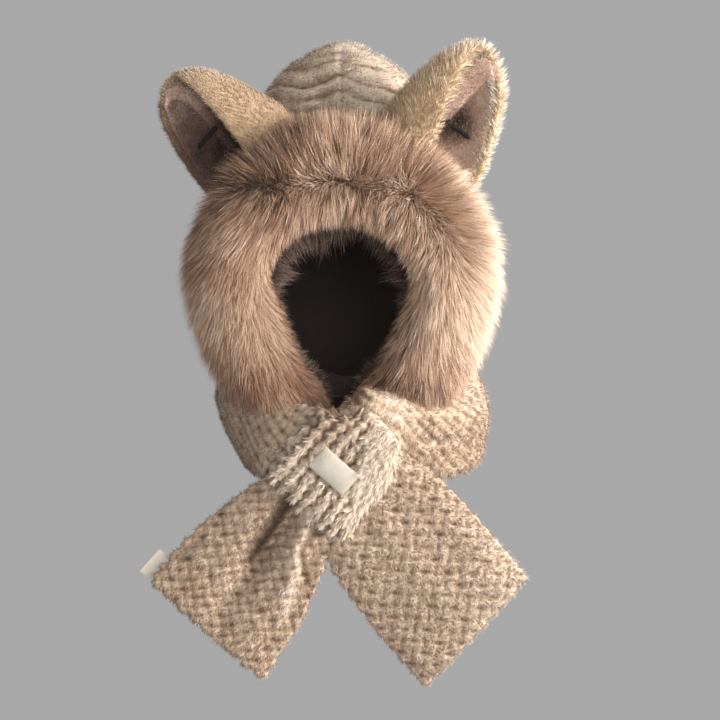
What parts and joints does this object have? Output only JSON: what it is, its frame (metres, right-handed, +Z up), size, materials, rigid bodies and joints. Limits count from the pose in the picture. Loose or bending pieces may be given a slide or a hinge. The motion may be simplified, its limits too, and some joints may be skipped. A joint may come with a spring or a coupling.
{
  "type": "animal hood scarf",
  "caption": "Pointed plush hood with a deep fur trim round the face, two cupped animal ears and a scarf threaded through its own loop.",
  "frame": {"origin": "where the crown of the head sits in the hood (mount head_seat)", "axes": "+Z up, -Y the way the face opening looks, +X to the right as seen from the front"},
  "size_m": [0.3891, 0.2567, 0.6515],
  "materials": {
    "knit_plush": "knit-embossed plush with a soft pile",
    "fur": "long pile faux fur, darker at the roots",
    "ear_pile": "short pale pile",
    "ear_lining": "short velvety pile",
    "label_satin": "smooth satin",
    "stitching": "dark twisted thread"
  },
  "bodies": {
    "root": {"hood_panel_left": "knit_plush", "hood_panel_right": "knit_plush", "fur_trim": "fur", "ear_left": "ear_pile", "ear_right": "ear_pile", "ear_lining_left": "ear_lining", "ear_lining_right": "ear_lining", "scarf_strip_right": "knit_plush", "keeper_loop": "knit_plush", "scarf_wrap_left": "knit_plush", "scarf_tail_right": "knit_plush", "label_patch": "label_satin", "seam_tab": "label_satin"}
  },
  "joints": []
}
